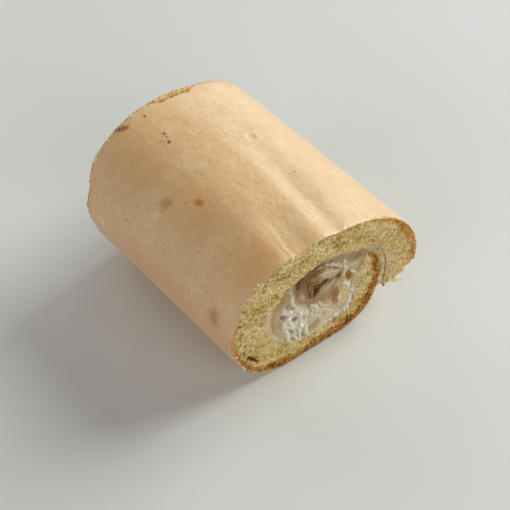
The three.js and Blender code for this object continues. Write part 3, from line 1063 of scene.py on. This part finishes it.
def cream_fields(x, z, along, share):
    """The fields that colour the cream."""
    u, w = heart_point(x, z, along)
    point = face_point(x, z, along)
    foam = cream_foam(x, z, along)
    flecks = 0.6 * smoothstep(rough(point * np.array([1.5, 1, 0.8]), 1.4, 35, 3), 0.12, 0.5) * foam
    # Darker towards the edge against the sponge.
    edge = 0.5 * smoothstep(share + 0.02 * rough(point, 2, 36, 2), 0.93, 1.0)
    from_pulp = outline(PULP, x, z, along) + 0.1 * rough(point, 1.5, 46, 2)
    browned = 0.7 * (1 - smoothstep(from_pulp, 0.9, 1.16)) * (1 - 0.6 * foam)
    blotches = np.clip(0.75 + rough(point * np.array([1.6, 1, 0.5]), 2, 47, 3), 0, 1)
    return dict(
        foam=foam * (1 - 0.8 * spots(u, w, SOAKED, 0.35)) * (1 - spots(u, w, PIT, 0.4)),
        stain=np.maximum.reduce([spots(u, w, STAINS_AND_SHADOWS, 0.45), edge, browned]),
        clear=spots(u, w, CLEAR, 0.35),
        soaked=spots(u, w, SOAKED, 0.5) * blotches,
        hollow=np.maximum(spots(u, w, HOLLOWS, 0.3), flecks),
        pit=spots(u, w, PIT, 0.25),
    )


def cream(material):
    """Cream from the fruit out to the sponge."""
    return rod("cream", 190, core_radius, (HEART_X, HEART_Z), cream_lift, material, cream_fields)


def seam_cream(material):
    """The thin layer of cream between the sheet's inner tip and its flap."""
    shares = np.linspace(0, 1, 220)
    depths = np.linspace(0, 1, 13)
    rows, faces = block_skin(shares, depths, FILLING_LINES)
    share, depth, along = rows.T
    tip = SHEET_END - FULL_TURN
    angle = INNER_START + 1 + share * (tip + 8 - INNER_START - 1)
    past = smoothstep(angle, tip - 1, tip + 1)
    outer = between(2, angle) + 0.3
    inner = between(1, np.minimum(angle, tip) + FULL_TURN) - 0.2 - 2.6 * past
    x, z = polar(inner + (outer - inner) * depth, angle)
    point = face_point(x, z, along)
    ridge = np.exp(-(((depth - 0.45 - 0.2 * rough(point, 5, 43, 2)) / 0.22) ** 2))
    shut = smoothstep(angle + 3 * rough(point, 3, 44, 2), 4, 12)
    lift = (1 - shut) * (-0.8 + 0.7 * ridge) - 0.1 * shut + 0.45 * rough(point, 1.1, 41, 3)
    lift -= 1.4 * smoothstep(angle, tip - 1, tip + 8)
    foam = (1 - shut) * np.clip(0.4 * ridge + 0.25 * rough(point, 2.0, 42, 3), 0, 1)
    crumbed = np.maximum(shut, 0.8 * np.clip(1 - 1.8 * ridge, 0, 1)) * (1 - past)
    hollow = shut * np.clip(0.3 + 1.6 * rough(point, 1.0, 45, 2), 0, 1)
    places = carry(x, z, along, end_share(along) * lift)
    return piece("seam_cream", places, faces_out(places, faces), material,
                 foam=foam, crumbed=crumbed, stain=0.5 * past, hollow=hollow)


# The pulp's soft lobes, as ovals with a height for their strength.
LOBES = (
    (1.3, -8.7, 6.0, 3.5, 6.0, 6),
    (0.9, -7.6, 14.2, 5.0, 3.0, 10),
    (1.6, 2.0, 12.0, 6.4, 4.8, -24),
    (1.1, 2.6, 2.6, 5.6, 3.2, -20),
    (1.0, 6.4, 4.6, 2.4, 4.2, 14),
    (1.0, -4.6, 0.8, 3.4, 3.4, 10),
    (0.8, -3.2, 16.4, 4.0, 2.6, 0),
)
# Creases between them, sunk and darkened with painted shade.
SEAMS = (
    (1.0, 1.6, (-3.6, 3.0), (-2.2, 5.4), (-0.8, 6.4), (0.6, 8.2)),
    (0.9, 1.2, (-2.8, 7.2), (-0.2, 6.2), (1.2, 6.6)),
    (0.6, 0.9, (0.8, 6.4), (3.0, 5.4), (4.6, 4.6), (7.2, 5.8)),
    (0.6, 0.8, (-12.2, 10.6), (-12.6, 7.0), (-11.8, 3.2), (-10.4, -0.4)),
    (0.55, 0.7, (-7.0, 12.6), (-6.6, 8.0), (-6.0, 3.4)),
    (0.5, 0.8, (-12.0, 13.0), (-7.6, 11.6), (-3.2, 10.0)),
    (0.6, 0.7, (-1.6, 15.6), (2.4, 14.2), (5.4, 11.6)),
    (0.4, 0.6, (-3.4, 3.2), (-0.6, 0.8), (2.2, -0.6)),
)
# Cream drawn over the pulp; the last is a painted highlight along the fold at the pulp's left edge.
CREAM_STREAKS = (
    (0.9, 0.9, (-2.8, 17.2), (2.2, 15.8), (6.6, 12.0), (7.8, 7.8)),
    (0.6, 0.5, (-2.6, 13.8), (1.6, 13.0), (4.8, 10.8)),
    (0.3, 0.5, (-1.4, 11.4), (1.6, 10.4), (3.6, 8.4)),
    (0.5, 0.6, (-12.8, 11.6), (-13.2, 7.4), (-12.0, 3.2)),
)
# Where the pulp is warmer or paler in colour, and where painted shadow darkens it under the sponge's
# overhanging edge.
RUDDY = (
    (1.0, 5.4, 0.2, 2.4, 4.0, 12),
    (0.8, 7.6, 5.0, 1.4, 3.6, 12),
    (0.5, -3.4, 5.0, 2.0, 3.4, 20),
    (0.4, -9.0, 10.4, 3.0, 2.4, 0),
)
PALE = (
    (0.9, 2.4, 12.0, 4.8, 3.8, -26),
    (0.5, -9.6, 4.6, 1.8, 5.0, 6),
    (0.5, 0.4, 2.8, 3.2, 2.2, -10),
)
# Painted shadow, where the sponge's edge overhangs the recessed pulp at its upper left.
PAINTED_SHADOW = ((1.0, -8.0, 15.4, 6.0, 2.6, 8), (0.8, -4.6, 18.2, 4.0, 1.6, -8))


def pulp_lift(x, z, along, share):
    """How far the pulp stands out of its cut: soft lobes with creases between them."""
    u, w = heart_point(x, z, along)
    point = face_point(x, z, along)
    swell = [height * np.sqrt(np.clip(1 - (oval(u, w, *shape) / 1.4) ** 2, 0, 1)) for height, *shape in LOBES]
    lift = -1.9 + np.maximum.reduce(swell) - 1.2 * strokes(u, w, SEAMS) + 0.4 * strokes(u, w, CREAM_STREAKS)
    lift += 0.3 * rough(point * np.array([1.6, 1, 0.6]), 2.4, 51, 4) + 0.2 * rough(point, 1.1, 52, 3)
    rim = smoothstep(outline(PULP, x, z, along), 0.45, 0.8)
    lift = lift * (1 - 0.8 * rim) + 0.8 * rim * (-1.1 + 0.5 * rough(point, 2.2, 56, 3))
    edge = smoothstep(outline(PULP, x, z, along), 0.86, 1.02)
    return lift * (1 - edge) - 2.4 * edge


def pulp_fields(x, z, along, share):
    """The fields that colour the pulp."""
    u, w = heart_point(x, z, along)
    point = face_point(x, z, along)
    blotches = 0.8 + 0.9 * rough(point, 1.3, 53, 3)
    seam = np.clip(strokes(u, w, SEAMS) * blotches, 0, 1)
    # Painted shadow from the sponge's edge, darkening and warming the pulp's upper left.
    painted_shadow = spots(u, w, PAINTED_SHADOW, 0.45)
    outward = 0.6 * share + rough(point * np.array([1.5, 1, 0.8]), 2.0, 54, 3)
    smeared = np.where(w < 8, 0.45 * smoothstep(outward, 0.7, 1.2), 0)
    streaks = strokes(u, w, CREAM_STREAKS) * np.clip(0.55 + 1.3 * rough(point, 1.7, 57, 3), 0, 1)
    return dict(
        seam=np.maximum(seam, 0.35 * painted_shadow * blotches),
        ruddy=np.maximum(spots(u, w, RUDDY, 0.4), painted_shadow),
        pale=spots(u, w, PALE, 0.4),
        white=np.maximum(streaks, smeared),
    )


def fruit_pulp(material):
    """The brown pulp in the upper middle."""
    middle = (HEART_X + PULP["x"], HEART_Z + PULP["z"])
    return rod("fruit_pulp", 130, fruit_radius(PULP), middle, pulp_lift, material, pulp_fields)


def fruit_slice(material):
    """The yellow slice at the lower right, bedded in cream."""
    middle = (HEART_X + SLICE["x"], HEART_Z + SLICE["z"])

    def lift(x, z, along, share):
        edge = smoothstep(outline(SLICE, x, z, along), 0.8, 1.0)
        return -0.6 - 2.0 * edge + 0.35 * rough(face_point(x, z, along), 2.4, 61, 3)

    def fields(x, z, along, share):
        rim = smoothstep(share + 0.3 * rough(face_point(x, z, along), 2.0, 62, 3), 0.55, 0.95)
        plain = np.zeros(len(x))
        return dict(seam=plain, ruddy=plain, pale=plain, white=0.8 * rim)

    return rod("fruit_slice_piece", 60, fruit_radius(SLICE), middle, lift, material, fields)


# ---- crumbs ----

def crumbs_tree():
    """Scatters crumbs over a surface, as thickly as its shed field says."""
    tree, given = new_geometry_tree(
        "loose crumbs", Density=2.2 / MM ** 2, Smallest=0.14 * MM, Largest=0.55 * MM)
    shed = add(tree, "GeometryNodeInputNamedAttribute", {"Name": "shed"}, data_type="FLOAT")
    density = add(tree, "ShaderNodeMath",
                  {0: shed.outputs[0], 1: given.outputs["Density"]}, operation="MULTIPLY")
    points = add(tree, "GeometryNodeDistributePointsOnFaces",
                 {"Mesh": given.outputs["Geometry"], "Density": density.outputs[0], "Seed": 7})
    grain = add(tree, "GeometryNodeMeshIcoSphere", {"Radius": 1.0, "Subdivisions": 2})
    size = add(tree, "FunctionNodeRandomValue",
               {2: given.outputs["Smallest"], 3: given.outputs["Largest"], "Seed": 3}, data_type="FLOAT")
    turn = add(tree, "FunctionNodeRandomValue", {1: (6.28, 6.28, 6.28), "Seed": 5}, data_type="FLOAT_VECTOR")
    placed = add(tree, "GeometryNodeInstanceOnPoints",
                 {"Points": points.outputs[0], "Instance": grain.outputs[0],
                  "Rotation": turn.outputs[0], "Scale": size.outputs[1]})
    real = add(tree, "GeometryNodeRealizeInstances", {0: placed.outputs[0]})
    where = add(tree, "GeometryNodeInputPosition").outputs[0]
    bumps = add(tree, "ShaderNodeTexNoise", {"Vector": where, "Scale": 1 / (0.5 * MM), "Detail": 2.0})
    centred = add(tree, "ShaderNodeVectorMath",
                  {0: bumps.outputs["Color"], 1: (0.5, 0.5, 0.5)}, operation="SUBTRACT")
    shift = add(tree, "ShaderNodeVectorMath", {0: centred.outputs[0], "Scale": 0.6 * MM}, operation="SCALE")
    uneven = add(tree, "GeometryNodeSetPosition", {"Geometry": real.outputs[0], "Offset": shift.outputs[0]})
    dressed = add(tree, "GeometryNodeSetMaterial",
                  {"Geometry": uneven.outputs[0], "Material": given.outputs["Material"]})
    add(tree, "NodeGroupOutput", {0: dressed.outputs[0]})
    return tree


def crumbs(source, material):
    """Crumbs along the skin's cut edges."""
    made = bpy.data.objects.new("crumbs", source.data.copy())
    bpy.context.collection.objects.link(made)
    places = np.zeros(len(made.data.vertices) * 3)
    made.data.vertices.foreach_get("co", places)
    places = places.reshape(-1, 3) / MM
    near = CENTRE_Y + NEAR_SKEW * places[:, 0]
    far = CENTRE_Y + LENGTH + FAR_SKEW * places[:, 0]
    from_cut = np.minimum(places[:, 1] - near, far - places[:, 1])
    angle = np.degrees(np.arctan2(places[:, 2] - HEART_Z, places[:, 0] - HEART_X)) % FULL_TURN
    torn_edge = 0.12 + 0.88 * smoothstep(angle, 106, 116) * (1 - smoothstep(angle, 155, 168))
    torn_edge += 0.4 * smoothstep(angle, 245, 275) * (1 - smoothstep(angle, 325, 335))
    clump = smoothstep(rough(places, 5, 71, 2), -0.05, 0.4) * (places[:, 2] > 0.8)
    shed = (1 - smoothstep(from_cut, 0.2, 1.2)) * clump * torn_edge
    # Each loose crumb takes 0.6 of the ridge tint, the sponge's painted highlight, which makes it paler.
    for name, values in (("shed", shed), ("ridge", np.full(len(shed), 0.6))):
        layer = made.data.attributes.new(name, "FLOAT", "POINT")
        layer.data.foreach_set("value", values.astype(np.float32))
    return run_tree(made, crumbs_tree(), material)


# ---- stage ----

CAMERA_AIM = (7.25, 6.05, 0.0)
CAMERA_AZIMUTH = -40.5
CAMERA_ELEVATION = 51.67
CAMERA_DISTANCE = 389.7
CAMERA_LENS = 70.6
FLOOR_REACH = 1500
LAMP_DISTANCE = 2600
# Round lamps that look at the cake: name, azimuth, elevation, width, watts, colour.
LAMPS = (
    ("window", 81, 35, 1560, 61, "#f5fefc"),
    ("window behind", 119, 16, 1500, 15, "#f7faff"),
    ("left wall", -90, 25, 2080, 20, "#f9fafc"),
    ("room ahead", 0, 30, 2080, 18, "#f9fafc"),
    ("room behind", 180, 30, 2080, 12, "#f9fafc"),
)


def towards(azimuth, elevation, distance, aim=(0, 0, 0)):
    """A point at a distance from aim, and the turn that looks from it back at aim."""
    a, e = math.radians(azimuth), math.radians(elevation)
    back = Vector((math.sin(a) * math.cos(e), -math.cos(a) * math.cos(e), math.sin(e)))
    return Vector(aim) * MM + back * distance * MM, (-back).to_track_quat("-Z", "Y")


def camera():
    """The camera, a long lens that looks down on the cake from its near end and left side."""
    data = bpy.data.cameras.new("camera")
    data.lens = CAMERA_LENS
    made = bpy.data.objects.new("camera", data)
    made.rotation_mode = "QUATERNION"
    made.location, made.rotation_quaternion = towards(
        CAMERA_AZIMUTH, CAMERA_ELEVATION, CAMERA_DISTANCE, CAMERA_AIM)
    bpy.context.collection.objects.link(made)
    bpy.context.scene.camera = made


def lamp(name, azimuth, elevation, wide, watts, tint):
    """A round lamp that looks at the cake."""
    data = bpy.data.lights.new(name, "AREA")
    data.shape = "DISK"
    data.size = wide * MM
    data.energy = watts
    data.color = colour(tint)[:3]
    made = bpy.data.objects.new(name, data)
    made.rotation_mode = "QUATERNION"
    made.location, made.rotation_quaternion = towards(azimuth, elevation, LAMP_DISTANCE)
    bpy.context.collection.objects.link(made)


def stage():
    """A white board, a window at the right and the room's soft light."""
    corners = np.array([(-1, -1, 0), (1, -1, 0), (1, 1, 0), (-1, 1, 0)]) * FLOOR_REACH
    floor = piece("floor", corners, np.array([(0, 1, 2, 3)]), floor_material())
    for settings in LAMPS:
        lamp(*settings)
    world = bpy.data.worlds.new("room")
    world.use_nodes = True
    background = world.node_tree.nodes["Background"]
    background.inputs["Color"].default_value = colour("#f7f8fa")
    background.inputs["Strength"].default_value = 0.06
    bpy.context.scene.world = world
    bpy.context.scene.view_settings.view_transform = "Standard"


# ---- the cake ----

def cake():
    """Every piece, riding the root, each in place of the CAD node that it finishes."""
    sponge, whipped, pulp, flesh = crumb_material(), cream_material(), pulp_material(), flesh_material()
    tree = crumb_tree()
    skin = crust()
    parts = (
        (skin, "sponge_sheet", "sponge"),
        (crumb(sponge, tree), "sponge_sheet", "sponge"),
        (torn_flap(sponge, tree), "sponge_sheet", "sponge"),
        (crumbs(skin, sponge), "sponge_sheet", "sponge"),
        (cream(whipped), "cream_filling", "cream"),
        (seam_cream(whipped), "cream_filling", "cream"),
        (fruit_pulp(pulp), "fruit_core", "fruit_pulp"),
        (fruit_slice(flesh), "fruit_slice", "fruit_flesh"),
    )
    for made, node, finish in parts:
        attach(made, "root")
        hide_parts(node)


camera()
stage()
cake()
